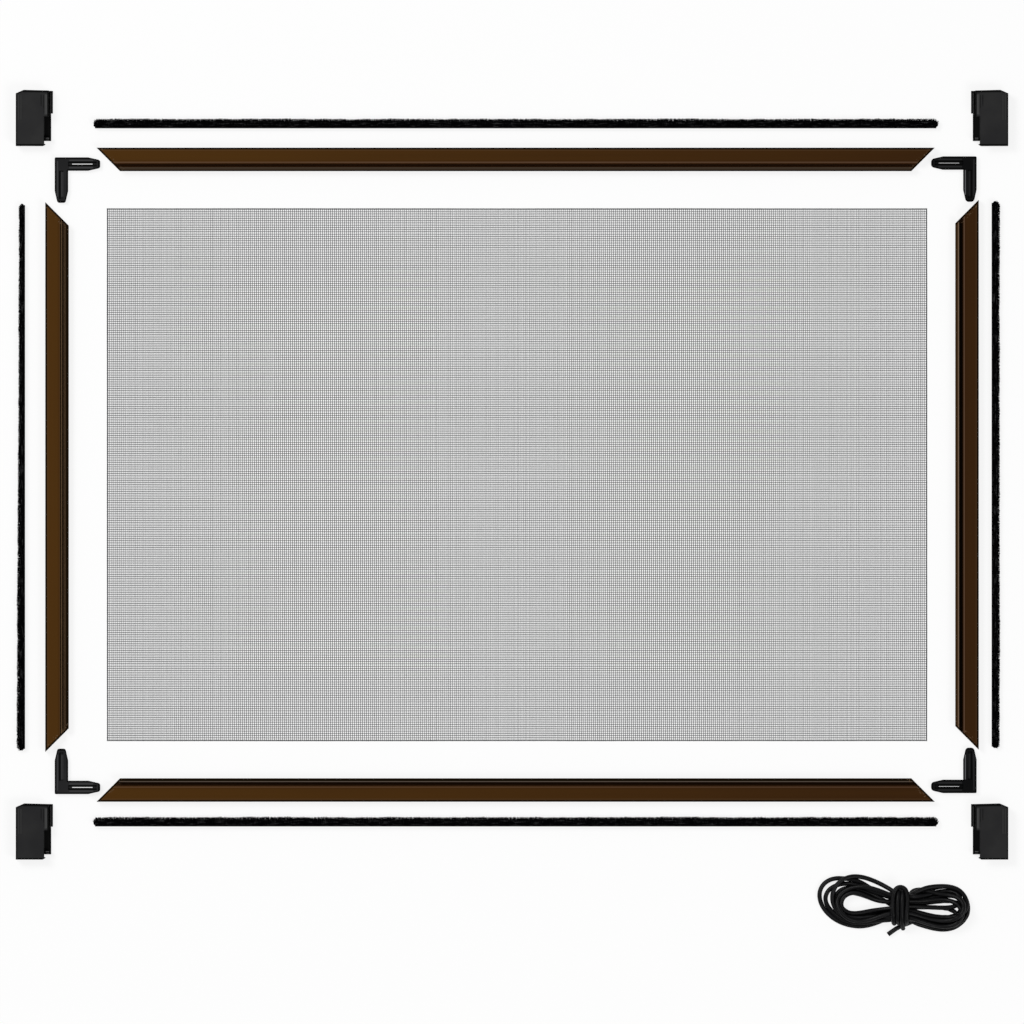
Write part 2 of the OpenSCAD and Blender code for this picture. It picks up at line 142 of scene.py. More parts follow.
# The end is wound round the waist, over the top as an arch, and three more times
TIE = (
    (16, 17.5, 7), (10, 16, 4), (8, 9, 2.5), (7.5, 0, 2.5), (7.2, -10, 2.5), (7.2, -18.5, 5),
    (7.2, -21.5, 10), (7, -18, 16), (7, -8, 19.5), (7, 4, 19.5), (7, 14, 18), (5.5, 20.5, 16),
    (1.5, 23.2, 14), (-4, 23.2, 14), (-8, 20.5, 16), (-9.5, 14, 18), (-9.7, 4, 19.5),
    (-9.7, -8, 19.5), (-9.7, -17, 16), (-9.7, -20.5, 10), (-9.5, -18, 5), (-8.5, -9, 2.5),
    (-7, 0, 2.5), (-5.5, 10, 2.5), (-4.4, 18, 5), (-4.2, 20, 10), (-4.2, 17, 16), (-4.2, 6, 19.5),
    (-4.2, -6, 19.5), (-4, -17, 16), (-4, -20.5, 10), (-3.5, -18, 5), (-3, -9, 2.5), (-1, 0, 2.5),
    (0.6, 10, 2.5), (1.2, 18, 5), (1.4, 20, 10), (1.4, 17, 16), (1.4, 6, 19.5), (1.4, -6, 19.5),
    (1.2, -17, 16), (0.6, -22.5, 11), (0, -27, 6), (-0.5, -29.5, 4),
)
# The arch is what lies farther back and higher than this in the tie
ARCH_Y, ARCH_Z = 19, 11
# How the turns pile up, and how the waist lifts and squeezes the pile
PILE_HEIGHT = 12
WAIST_WIDTH, WAIST_LIFT, WAIST_SQUEEZE = 22, 5, 0.45
# How often the cord is moved until it rests, and how far it sinks each time
SETTLING_ROUNDS = 600
SINK = 0.03
# How firmly the arch and the turns keep to their plan, and how much shorter the tie is pulled
HOLD_ARCH, HOLD_TURNS, TIGHTEN = 0.05, 0.012, 0.12
# How much of a bend is taken out each time, and how much of the difference between bends
STRAIGHTEN, EVEN_OUT = 0.06, 0.45
# How much of an overlap or a stretch is put right at once
GIVE = 0.4
# Points that may touch: looked up every few rounds, within so many diameters, so many points apart
LOOK_UP_EVERY, NEAR, APART_BY = 8, 1.7, 4


def evenly_spaced(line, step):
    """The same line, with its points one step apart."""
    gaps = np.linalg.norm(np.diff(line, axis=0), axis=1)
    along = np.concatenate([[0], np.cumsum(gaps)])
    at = np.linspace(0, along[-1], int(round(along[-1] / step)) + 1)
    return np.stack([np.interp(at, along, line[:, axis]) for axis in range(3)], axis=1)


def smooth_line(points, step):
    """A smooth line through the points, with its own points one step apart."""
    points = np.array(points, float)
    ends = 2 * points[[0, -1]] - points[[1, -2]]
    p = np.vstack([ends[:1], points, ends[1:]])
    place = np.arange(0, len(points) - 1, CURVE_STEP)
    i = np.floor(place).astype(int)
    f = (place - i)[:, None]
    bends = (
        2 * p[i + 1]
        + (p[i + 2] - p[i]) * f
        + (2 * p[i] - 5 * p[i + 1] + 4 * p[i + 2] - p[i + 3]) * f**2
        + (3 * p[i + 1] - p[i] - 3 * p[i + 2] + p[i + 3]) * f**3
    ) / 2
    return evenly_spaced(np.vstack([bends, points[-1]]), step)


def left_turn(shares):
    """The points of one turn round the left lobe."""
    return [
        tuple((1 - share) * np.array(inner) + share * np.array(outer))
        for inner, outer, share in zip(LEFT_INNER, LEFT_OUTER, shares)
    ]


def right_turn(low, high, tip):
    """The points of one turn round the right lobe."""
    middle, reach = (low + high) / 2, (high - low) / 2
    cap = [
        (tip - reach * (1 - math.sin(angle)), middle - reach * math.cos(angle))
        for angle in np.linspace(CAP_START, math.pi - CAP_START, CAP_POINTS)
    ]
    way_out = [(x, share * low + rise) for x, share, rise in LOWER_RUN]
    way_back = [(x, share * high + rise) for x, share, rise in UPPER_RUN]
    return way_out + cap + way_back


def wound_cord():
    """The cord as wound by hand, and how many of its last points make the tie."""
    flat = right_turn(*RIGHT_TURNS[0])[1:]
    for shares, sizes in zip(LEFT_TURNS, RIGHT_TURNS[1:]):
        flat += left_turn(shares) + right_turn(*sizes)
    flat = np.array(flat[:-1])
    waist = np.exp(-((flat[:, 0] / WAIST_WIDTH) ** 2))
    layers = np.linspace(0, PILE_HEIGHT, len(flat))
    height = CORD_DIAMETER / 2 + WAIST_LIFT * waist + layers * (1 - WAIST_SQUEEZE * waist)
    tie = smooth_line(TIE, CORD_STEP)
    turns = np.column_stack([flat, height])
    return smooth_line(np.vstack([FREE_END, turns, tie]), CORD_STEP), len(tie)


def settled_cord(line, tie_count):
    """The wound cord after it has come to rest: no turn in another, none under the floor."""
    count = len(line)
    plan = line.copy()
    in_tie = np.arange(count) >= count - tie_count
    in_arch = in_tie & (plan[:, 1] > ARCH_Y) & (plan[:, 2] > ARCH_Z)
    hold = np.where(in_arch, HOLD_ARCH, np.where(in_tie, 0.0, HOLD_TURNS))[:, None]
    gaps = np.linalg.norm(np.diff(line, axis=0), axis=1)
    pull = np.where(in_tie[1:] & ~in_arch[1:], TIGHTEN, 0.0)
    for turn in range(SETTLING_ROUNDS):
        if turn % LOOK_UP_EVERY == 0:
            far = ((line[:, None] - line[None]) ** 2).sum(2)
            one, other = np.nonzero(np.triu(far < (NEAR * CORD_DIAMETER) ** 2, APART_BY))
        line[:, 2] -= SINK
        for _ in range(2):
            bow = np.zeros_like(line)
            bow[1:-1] = (line[:-2] + line[2:]) / 2 - line[1:-1]
            change = bow[1:-1] - (bow[:-2] + bow[2:]) / 2
            line[1:-1] += STRAIGHTEN * bow[1:-1] + EVEN_OUT * change
        line[:, :2] += hold * (plan - line)[:, :2]
        for _ in range(2):
            apart = line[one] - line[other]
            space = np.maximum(np.linalg.norm(apart, axis=1), SAME_POINT)
            push = (GIVE * np.maximum(CORD_DIAMETER - space, 0) / space)[:, None] * apart
            for axis in range(3):
                line[:, axis] += np.bincount(one, push[:, axis], count)
                line[:, axis] -= np.bincount(other, push[:, axis], count)
            edge = np.diff(line, axis=0)
            long = np.linalg.norm(edge, axis=1)
            # The tie is pulled tight over the first half of the rounds
            aim = gaps * (1 - pull * min(1, 2 * turn / SETTLING_ROUNDS))
            slack = edge * (GIVE * (long - aim) / long)[:, None]
            line[:-1] += slack
            line[1:] -= slack
            line[:, 2] = np.maximum(line[:, 2], CORD_DIAMETER / 2)
    return line


def tube(name, line, radius, sides):
    """A closed round tube along a line, whose UV map holds the way round and the metres along."""
    count = len(line)
    ahead = np.gradient(line, axis=0)
    ahead /= np.linalg.norm(ahead, axis=1)[:, None]
    aside = np.zeros_like(line)
    aside[0] = np.cross(ahead[0], (0, 0, 1))
    for i in range(count):
        carried = aside[max(i - 1, 0)]
        aside[i] = carried - ahead[i] * carried.dot(ahead[i])
        aside[i] /= np.linalg.norm(aside[i])
    above = np.cross(ahead, aside)
    angle = np.linspace(0, 2 * math.pi, sides, endpoint=False)[None, :, None]
    spokes = np.cos(angle) * aside[:, None] + np.sin(angle) * above[:, None]
    rings = line[:, None] + radius * spokes
    i, j = np.meshgrid(np.arange(count - 1), np.arange(sides), indexing="ij")
    following = (j + 1) % sides
    near, far = i * sides, (i + 1) * sides
    walls = np.stack([near + j, near + following, far + following, far + j], axis=-1)
    faces = walls.reshape(-1, 4).tolist()
    faces.append(list(range(sides))[::-1])
    faces.append([(count - 1) * sides + k for k in range(sides)])
    mesh = bpy.data.meshes.new(name)
    mesh.from_pydata(rings.reshape(-1, 3).tolist(), [], faces)
    along = np.concatenate([[0], np.cumsum(np.linalg.norm(np.diff(line, axis=0), axis=1))])
    around = np.stack([j, j + 1, j + 1, j], axis=-1) / sides
    onward = np.stack([along[i], along[i], along[i + 1], along[i + 1]], axis=-1)
    wall_map = np.stack([around, onward], axis=-1).reshape(-1, 2)
    end_map = np.zeros((2 * sides, 2))
    end_map[sides:, 1] = along[-1]
    layer = mesh.uv_layers.new(name="round_and_along")
    layer.data.foreach_set("uv", np.vstack([wall_map, end_map]).ravel())
    mesh.polygons.foreach_set("use_smooth", [True] * (len(faces) - 2) + [False] * 2)
    mesh.update()
    return add_object(name, mesh)


route = smooth_line(settled_cord(*wound_cord()), FINE_STEP)
route[:, 0] += HANK_PLACE[0]
route[:, 1] += HANK_PLACE[1]
route /= MM
hank = tube("cord_hank", route, CORD_DIAMETER / 2 / MM, CORD_SIDES)
takes_over(hank, "spline_cord")


# Node trees, for materials and for shapes
class Wire:
    """A value on its way between nodes. It can stand in a sum."""

    def __init__(self, bench, socket):
        self.bench = bench
        self.socket = socket

    def maths(self, operation, *values):
        """This value and the others in one sum of the named kind."""
        sockets = dict(enumerate((self, *values)))
        return self.bench.add("ShaderNodeMath", {"operation": operation}, sockets)

    def __add__(self, other):
        return self.maths("ADD", other)

    def __sub__(self, other):
        return self.maths("SUBTRACT", other)

    def __rsub__(self, other):
        return self.maths("MULTIPLY", -1.0) + other

    def __mul__(self, other):
        return self.maths("MULTIPLY", other)

    def __truediv__(self, other):
        return self.maths("DIVIDE", other)

    def __gt__(self, other):
        return self.maths("GREATER_THAN", other)

    def __abs__(self):
        return self.maths("ABSOLUTE")

    __radd__ = __add__
    __rmul__ = __mul__


class Bench:
    """A tree of nodes with one way to add a node."""

    def __init__(self, tree):
        self.tree = tree
        self.tree.nodes.clear()

    def add(self, kind, settings=None, sockets=None, output=0):
        """A node of a kind, with its settings and the values or wires of its sockets.

        A list of wires goes into one socket. What comes back is the output to go on from.
        """
        node = self.tree.nodes.new(kind)
        for name, value in (settings or {}).items():
            setattr(node, name, value)
        for name, value in (sockets or {}).items():
            wires = value if isinstance(value, list) else [value]
            for wire in wires:
                if isinstance(wire, Wire):
                    self.tree.links.new(wire.socket, node.inputs[name])
                else:
                    node.inputs[name].default_value = wire
        return Wire(self, node.outputs[output]) if node.outputs else node


class Finish(Bench):
    """A material made of nodes."""

    def __init__(self, name):
        self.material = bpy.data.materials.new(name)
        self.material.use_nodes = True
        super().__init__(self.material.node_tree)
        self.place = self.add("ShaderNodeTexCoord", output="Object")

    def part(self, vector, axis):
        """The vector's share along one axis."""
        return self.add("ShaderNodeSeparateXYZ", sockets={0: vector}, output=axis)

    def speckle(self, grains, detail=3.0, roughness=0.5):
        """Noise between 0 and 1. Its grains to the metre are one number, or one for each axis."""
        scale = grains if isinstance(grains, tuple) else (grains,) * 3
        stretched = self.add("ShaderNodeMapping", sockets={"Vector": self.place, "Scale": scale})
        return self.add("ShaderNodeTexNoise", sockets={
            "Vector": stretched, "Scale": 1.0, "Detail": detail, "Roughness": roughness,
        })

    def blend(self, share, first, second):
        """The first colour, and the second in its place where the share is 1."""
        sockets = {0: share, 6: first, 7: second}
        return self.add("ShaderNodeMix", {"data_type": "RGBA"}, sockets, output=2)

    def spread(self, wire, low, high, new_low=0.0, new_high=1.0):
        """The value with low to high stretched over the new range, and held at its ends."""
        sockets = {"Value": wire, 1: low, 2: high, 3: new_low, 4: new_high}
        return self.add("ShaderNodeMapRange", sockets=sockets)

    def band(self, wire, low, high, soft):
        """1 from low to high and 0 elsewhere, with soft edges."""
        rise = self.spread(wire, low - soft, low + soft)
        return rise * self.spread(wire, high + soft, high - soft)

    def relief(self, height, strength, depth):
        """A bumped normal."""
        sockets = {"Height": height, "Strength": strength, "Distance": depth}
        return self.add("ShaderNodeBump", sockets=sockets)

    def done(self, sockets):
        """The material, with these values and wires in its surface shader."""
        surface = self.add("ShaderNodeBsdfPrincipled", sockets=sockets)
        self.add("ShaderNodeOutputMaterial", sockets={"Surface": surface})
        return self.material


def tone(red, green, blue):
    """A colour as it looks in a picture, from 0 to 255, as the light that it gives back."""
    shares = [value / 255 for value in (red, green, blue)]
    light = [s / 12.92 if s <= 0.04045 else ((s + 0.055) / 1.055) ** 2.4 for s in shares]
    return tuple(light) + (1.0,)


def streaked(most_ways, axis, along):
    """Grains to the metre: a number of its own along one axis, and the same along the others."""
    grains = [most_ways] * 3
    grains[axis] = along
    return tuple(grains)


# Lines along a rail's face: where each begins and ends and how soft it is, and its tone. They are
# a painted highlight near the outer edge, a die line darkened with painted shade, and a painted
# highlight on the groove-side bevel
EDGE_HIGHLIGHT_LINE, EDGE_HIGHLIGHT_TONE = (2.3, 3.2, 0.4), (84, 64, 46)
DIE_SHADE_LINE, DIE_SHADE_TONE = (13.8, 14.7, 0.2), (40, 20, 8)
BEVEL_HIGHLIGHT_LINE, BEVEL_HIGHLIGHT_TONE = (15.4, 16.5, 0.3), (92, 70, 56)
KIT_ENDS = (-0.52, 0.5)
COAT_LEFT, COAT_RIGHT = (73, 46, 15), (50, 29, 12)
# Painted shade along a rail's outer edge, which is also the tone of the dark seam at each mitre;
# the tone of worn chips; the tint of the coat's gloss
EDGE_SHADE_AND_SEAM, COAT_CHIP, COAT_GLOSS = (6, 2, 0), (92, 74, 56), (236, 190, 132)
BARE_METAL = ((128, 124, 118), (176, 172, 165))
# A distance square to a mitre, for each unit along the rail
SQUARE_TO_MITRE = 0.707
# How clear each rail's painted highlight on the groove-side bevel is, and where the tones of its
# groove and inner lip begin: painted light and shade across the groove, the inner lip and the
# inner edge
RAIL_LIGHT_AND_SHADE = {
    "top": (0.8, (
        (16.9, (60, 36, 20)), (21.3, (68, 58, 48)), (22.5, (48, 38, 30)), (24.3, (14, 8, 4)),
    )),
    "bottom": (0.5, ((17.0, (46, 27, 13)), (21.3, (84, 74, 66)), (22.5, (8, 4, 1)))),
    "left": (0.3, (
        (15.9, (8, 3, 0)), (17.2, (112, 90, 66)), (21.4, (54, 41, 30)), (22.6, (6, 3, 0)),
    )),
    "right": (0.9, (
        (16.9, (24, 10, 3)), (21.2, (118, 98, 80)), (22.4, (66, 48, 32)), (23.6, (44, 28, 14)),
    )),
}


def rail_coat(side, highlight_strength, painted_bands):
    """Brown coat on an extruded rail: painted shade along its outer edge, painted highlight lines,
    a die line darkened with painted shade, painted light and shade in its groove and on its inner
    lip, dark seams and worn chips by the mitres, and bare mitres.
    """
    finish = Finish("rail_coat_" + side)
    low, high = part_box("rail_" + side)
    run = RUNS[side]
    # Distances in millimetres: in from the outer edge, and in from the nearer mitre
    outer = (high if side in ("top", "right") else low)[1 - run]
    inward = abs(finish.part(finish.place, "YX"[run]) - outer) * MM
    along = abs(finish.part(finish.place, "XY"[run]) - (high[run] + low[run]) / 2)
    from_mitre = (((high[run] - low[run]) / 2 - along) * MM - inward) * SQUARE_TO_MITRE
    drawn = finish.speckle(streaked(260.0, run, 3.0), 4.0, 0.6)
    cloudy = finish.speckle(4.0, 2.0)
    peel = finish.speckle(1300.0, 2.0, 0.6)
    # The coat goes from its left tone at the kit's left end to its right tone at the right end
    rightward = finish.spread(finish.part(finish.place, "X"), *KIT_ENDS)
    share = finish.spread(0.8 * rightward + 0.3 * cloudy + 0.3 * drawn, 0.25, 1.15)
    coat = finish.blend(share, tone(*COAT_LEFT), tone(*COAT_RIGHT))
    facing = finish.add("ShaderNodeTexCoord", output="Normal")
    upward = finish.part(facing, "Z") > 0.3
    chips = finish.band(from_mitre, 2.0, 5.0, 0.6) * (finish.speckle(600.0, 1.0) > 0.63)
    # The painted highlight on the groove-side bevel, clearer in cloudy patches
    painted_highlight = finish.band(inward, *BEVEL_HIGHLIGHT_LINE) * (highlight_strength * (0.6 + 0.7 * cloudy))
    # Painted highlights near the outer edge and on the groove-side bevel, and a die line darkened
    # with painted shade
    layers = [
        (finish.band(inward, *EDGE_HIGHLIGHT_LINE) * 0.4, EDGE_HIGHLIGHT_TONE),
        (finish.band(inward, *DIE_SHADE_LINE) * (0.7 * cloudy), DIE_SHADE_TONE),
        (painted_highlight, BEVEL_HIGHLIGHT_TONE),
    ]
    # Painted light and shade across the groove, the inner lip and the inner edge, in each rail's
    # own tones
    layers += [(finish.spread(inward, start - 0.2, start + 0.2), shade) for start, shade in painted_bands]
    layers += [
        # Painted shade along the outer edge, and the dark seam along each mitre
        (finish.spread(inward, 2.0, 1.6), EDGE_SHADE_AND_SEAM),
        (finish.spread(from_mitre, 2.0, 1.5), EDGE_SHADE_AND_SEAM),
        (chips, COAT_CHIP),
    ]
    for mask, shade in layers:
        coat = finish.blend(mask * upward, coat, tone(*shade))
    mitre = abs(finish.part(facing, "X") * finish.part(facing, "Y")) > 0.3
    sawn = finish.speckle(streaked(60.0, 1 - run, 900.0), 2.0)
    metal = finish.blend(sawn, tone(*BARE_METAL[0]), tone(*BARE_METAL[1]))
    return finish.done({
        "Base Color": finish.blend(mitre, coat, metal),
        "Metallic": 0.9 * mitre,
        "Roughness": finish.spread(0.5 * drawn + 0.5 * peel, 0.2, 0.8, 0.38, 0.54),
        "Normal": finish.relief(peel + 0.6 * drawn, 0.25, 0.0002),
        "Specular IOR Level": 0.1,
        "Specular Tint": tone(*COAT_GLOSS),
    })


# Painted shade: black in a corner or along a sloping edge, and the painted shade beside a rib
SHADE_BLACK, RIB_SHADE = (2, 2, 2), (3, 3, 3)
# How level a moulded face is, from 0 to 1, where it begins to count as seen from above
LEVEL_FROM = 0.45


def moulded_plastic(name, origin, shades, grain, rough, gloss, marks):
    """Dark moulded plastic: fine grain, rubbed patches, painted shade on its sloping faces, and
    marks.

    A mark is a box in millimetres from the origin, x then y, the height that it starts at, and its
    tone. Marks are strips of painted highlights and painted shade.
    """
    finish = Finish(name)
    skin = finish.speckle(grain, 3.0, 0.6)
    cloudy = finish.speckle(28.0)
    shade, worn = shades
    colour = finish.blend(finish.spread(cloudy, 0.35, 0.75), tone(*shade), tone(*worn))
    slope = finish.part(finish.add("ShaderNodeTexCoord", output="Normal"), "Z")
    upward = slope > LEVEL_FROM
    x, y = (abs(finish.part(finish.place, axis) - origin["XY".index(axis)]) * MM for axis in "XY")
    z = finish.part(finish.place, "Z") * MM
    # Sloping faces take painted shade, as the dark outline of edges seen from above
    shaded_slopes = finish.band(slope, LEVEL_FROM, 0.97, 0.02)
    colour = finish.blend(shaded_slopes, colour, tone(*SHADE_BLACK))
    for (x_low, x_high), (y_low, y_high), z_low, mark in marks:
        area = finish.band(x, x_low, x_high, 0.2) * finish.band(y, y_low, y_high, 0.3)
        colour = finish.blend(area * (z > z_low) * upward, colour, tone(*mark))
    texture = 0.5 * skin + 0.5 * cloudy
    return finish.done({
        "Base Color": colour,
        "Roughness": finish.spread(texture, 0.25, 0.75, rough - 0.07, rough + 0.09),
        "Normal": finish.relief(skin, 0.35, 0.00015),
        "Specular IOR Level": gloss,
    })


def woven_backing(name, run):
    """Black woven strip: short floats of yarn across it."""
    finish = Finish(name)
    ribs = (finish.part(finish.place, "XY"[run]) * 5200.0).maths("SINE")
    rows = (finish.part(finish.place, "Z") * 4200.0).maths("SINE")
    weave = finish.spread(ribs * rows, -1.0, 1.0)
    fuzz = finish.speckle(2400.0, 2.0)
    return finish.done({
        "Base Color": finish.blend(weave, tone(4, 4, 5), tone(22, 22, 23)),
        "Roughness": finish.spread(fuzz, 0.2, 0.8, 0.75, 0.95),
        "Normal": finish.relief(weave + 0.4 * fuzz, 0.6, 0.0003),
        "Specular IOR Level": 0.06,
    })


def pile_fibre(name, run):
    """Black bristles, laid over each other in greyer streaks along the strip."""
    finish = Finish(name)
    strands = finish.speckle(1100.0, 2.0)
    streaks = finish.speckle(streaked(700.0, run, 90.0), 2.0)
    share = finish.spread(0.3 * strands + 0.7 * streaks, 0.54, 0.7)
    return finish.done({
        "Base Color": finish.blend(share, tone(0, 0, 1), tone(62, 62, 63)),
        "Roughness": finish.spread(strands, 0.2, 0.8, 0.6, 0.85),
        "Specular IOR Level": 0.03,
    })


def coated_yarn(name):
    """Grey coated glass yarn, uneven from thread to thread."""
    finish = Finish(name)
    upright = finish.speckle((420.0, 5.0, 1.0), 2.0)
    level = finish.speckle((5.0, 380.0, 1.0), 2.0)
    grain = finish.speckle(1800.0, 2.0)
    share = finish.spread(0.45 * upright + 0.3 * level + 0.25 * grain, 0.35, 0.65)
    return finish.done({
        "Base Color": finish.blend(share, tone(58, 60, 62), tone(92, 94, 96)),
        "Roughness": finish.spread(grain, 0.2, 0.8, 0.5, 0.7),
        "Normal": finish.relief(grain, 0.3, 0.0001),
        "Specular IOR Level": 0.35,
    })


def cord_rubber(name):
    """Soft black rubber with fine ribs along the cord and paler streaks along it."""
    finish = Finish(name)
    own_map = finish.add("ShaderNodeTexCoord", output="UV")
    turn = finish.part(own_map, "X") * (2 * math.pi)
    ribs = (turn * 14.0).maths("COSINE")
    along = finish.part(own_map, "Y") * 22.0
    sockets = {0: turn.maths("COSINE"), 1: turn.maths("SINE"), 2: along}
    wrapped = finish.add("ShaderNodeCombineXYZ", sockets=sockets)
    sockets = {"Vector": wrapped, "Scale": 1.4, "Detail": 3.0}
    streaks = finish.add("ShaderNodeTexNoise", sockets=sockets)
    skin = finish.speckle(1500.0, 2.0)
    paler = finish.spread(streaks, 0.48, 0.75)
    return finish.done({
        "Base Color": finish.blend(paler, tone(5, 5, 6), tone(24, 24, 26)),
        "Roughness": finish.spread(0.6 * streaks + 0.4 * skin, 0.3, 0.7, 0.36, 0.52),
        "Normal": finish.relief(ribs * 0.5 + skin, 0.2, 0.0001),
        "Specular IOR Level": 0.15,
    })


def paint(node, material):
    """A carried-over CAD node takes the material in place of its plain one."""
    data = nodes[node].data
    data.materials.clear()
    data.materials.append(material)


hank.data.materials.append(cord_rubber("cord_rubber"))


# Rails and the seals' strips, with each strip's ends snipped back under the splayed bristles
SNIPPED = 0.0016
STRIP_EDGE = 0.00025
strip_weaves = [woven_backing("strip_weave_level", 0), woven_backing("strip_weave_upright", 1)]


def snipped_strip(side):
    """A merged copy of a seal's strip, with its ends snipped back and its edges softened."""
    node = "seal_backing_" + side
    run = RUNS[side]
    low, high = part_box(node)
    middle = (low[run] + high[run]) / 2

    def snip(point):
        point[run] += SNIPPED if point[run] < middle else -SNIPPED

    strip = merged_copy(node, "strip_" + side, snip)
    soften = strip.modifiers.new("soften", "BEVEL")
    soften.width = STRIP_EDGE
    soften.segments = 2
    made_plain(strip, soften)
    strip.data.materials.append(strip_weaves[run])
    takes_over(strip, node)


for side in SIDES:
    paint("rail_" + side, rail_coat(side, *RAIL_LIGHT_AND_SHADE[side]))
    snipped_strip(side)


# A connector's outline, just outside its solid, in millimetres from its outer corner
CONNECTOR_OUTLINE = (
    (-1, -1), (32.3, -1), (49.63, 2.98), (49.63, 11.62), (32.3, 15.6), (15.6, 15.6),
    (15.6, 32.3), (11.62, 49.63), (2.98, 49.63), (-1, 32.3),
)
TIP_CORNERS = (2, 3, 7, 8)
TIP_POINTS = 7
# Heights just under and just over the solid, in metres
OUTLINE_HEIGHTS = (-0.001, 0.0075)
# The slot in the level leg's web: where it may start, its middle line, how far from that the
# solid's walls lie at most, and the web's heights
SLOT_START = 15
SLOT_MIDDLE = 7.3
SLOT_REACH = 0.7
WEB = (2.1, 4.2)
# Marks on a connector, from its outer corner: painted shade along its edges and beside the ribs,
# and painted highlights on strips of its legs
CONNECTOR_SHADE = (
    ((-1, 60), (-1, 1.7), 0, SHADE_BLACK),
    ((-1, 1.7), (-1, 60), 0, SHADE_BLACK),
    ((14, 60), (13.0, 16), 0, SHADE_BLACK),
    ((13.0, 16), (14, 60), 0, SHADE_BLACK),
    ((47.6, 60), (-1, 16), 0, SHADE_BLACK),
    ((-1, 16), (47.6, 60), 0, SHADE_BLACK),
    ((15, 46), (4.5, 6.1), 0, RIB_SHADE),
    ((15, 46), (8.4, 9.9), 0, RIB_SHADE),
    ((4.8, 6.4), (15, 45), 0, RIB_SHADE),
)
# Painted highlights on strips of the legs' ribs and channel
CONNECTOR_HIGHLIGHTS = (
    ((16, 42), (2.6, 4.0), 0),
    ((16, 42), (10.4, 12.2), 0),
    ((7.0, 9.6), (16, 43), 0),
    ((2.4, 3.8), (4, 43), 0),
)
# For each side: base tones, the tone of its painted highlights, how soft the tips are, the slot's
# width, more marks
CONNECTOR_SIDES = {
    "left": (((30, 30, 31), (40, 40, 41)), (56, 56, 57), 2.4, 0.8, ()),
    "right": (
        ((8, 8, 9), (20, 20, 21)), (34, 34, 35), 3.4, 0.4,
        # On the right: a painted highlight along the upright leg's inner bevel, and a lighter
        # patch near the outer corner
        (((11.9, 12.9), (15, 42), 0, (96, 96, 98)), ((2.0, 4.0), (3.0, 8.0), 0, (30, 30, 31))),
    ),
}
# Marks on a bracket, from its outer side and its top: painted shade along its edges, in two thin
# lines, in the gap by the front plate and in the lower pocket, and painted highlights on its
# beads, on the rear plate's strip and on two ledges
BRACKET_TONES = ((35, 35, 36), (44, 44, 44))
BRACKET_LIGHT_AND_SHADE = (
    ((-1, 1.5), (-1, 70), 0, SHADE_BLACK),
    ((-1, 45), (59.2, 70), 0, SHADE_BLACK),
    ((8, 45), (-1, 2.7), 0, SHADE_BLACK),
    ((2, 31), (-1, 55), 16.6, (48, 48, 48)),
    ((27.4, 28.2), (6, 18), 16, (24, 24, 24)),
    ((30.1, 30.9), (6, 20), 16, (24, 24, 24)),
    ((31.6, 34.3), (5, 27), 16, (64, 64, 64)),
    ((34.7, 36.7), (-1, 30), 0, SHADE_BLACK),
    ((37.0, 38.2), (3, 27), 0, (80, 80, 80)),
    ((31, 36), (28.8, 58), 0, (14, 14, 14)),
    ((36, 45), (28.4, 58), 0, SHADE_BLACK),
    ((32.4, 36), (52.2, 53.0), 0, (96, 96, 96)),
    ((32.4, 36), (54.2, 55.0), 0, (84, 84, 84)),
)


def soft_corner(before, corner, after, cut):
    """A soft curve in place of a corner, from so far before it to as far after it."""
    before, corner, after = (np.array(point, float) for point in (before, corner, after))
    start = corner + (before - corner) * cut / np.linalg.norm(before - corner)
    end = corner + (after - corner) * cut / np.linalg.norm(after - corner)
    return [
        (1 - t) ** 2 * start + 2 * t * (1 - t) * corner + t**2 * end
        for t in np.linspace(0, 1, TIP_POINTS)
    ]


def connector_form(outer, onward, tip_cut):
    """A thick plate with a connector's outline and soft tips."""
    outline = []
    corners = CONNECTOR_OUTLINE
    for index, corner in enumerate(corners):
        if index in TIP_CORNERS:
            outline += soft_corner(corners[index - 1], corner, corners[index + 1], tip_cut)
        else:
            outline.append(corner)
    plan = np.array(outer) + np.array(outline) / MM * np.array(onward)
    count = len(plan)
    walls = [[k, (k + 1) % count, count + (k + 1) % count, count + k] for k in range(count)]
    caps = [list(range(count))[::-1], list(range(count, 2 * count))]
    mesh = bpy.data.meshes.new("connector_form")
    mesh.from_pydata([(x, y, z) for z in OUTLINE_HEIGHTS for x, y in plan], [], walls + caps)
    turned = bmesh.new()
    turned.from_mesh(mesh)
    bmesh.ops.recalc_face_normals(turned, faces=turned.faces)
    turned.to_mesh(mesh)
    turned.free()
    return add_object("connector_form", mesh)


def moulded_connector(node, outer, onward, tip_cut, slot_width):
    """A merged copy of a connector's solid, with soft tips and a slot of this width in its web."""

    def narrow(point):
        along, across = (abs(point[axis] - outer[axis]) * MM for axis in range(2))
        beside = across - SLOT_MIDDLE
        in_web = WEB[0] < point.z * MM < WEB[1]
        if along > SLOT_START and abs(beside) < SLOT_REACH and in_web:
            wall = SLOT_MIDDLE + math.copysign(slot_width / 2, beside)
            point.y = outer[1] + onward[1] * wall / MM

    piece = merged_copy(node, node + "_moulded", narrow)
    form = connector_form(outer, onward, tip_cut)
    trim = piece.modifiers.new("trim", "BOOLEAN")
    trim.operation = "INTERSECT"
    trim.solver = "EXACT"
    trim.object = form
    made_plain(piece, trim)
    bpy.data.objects.remove(form)
    takes_over(piece, node)
    return piece


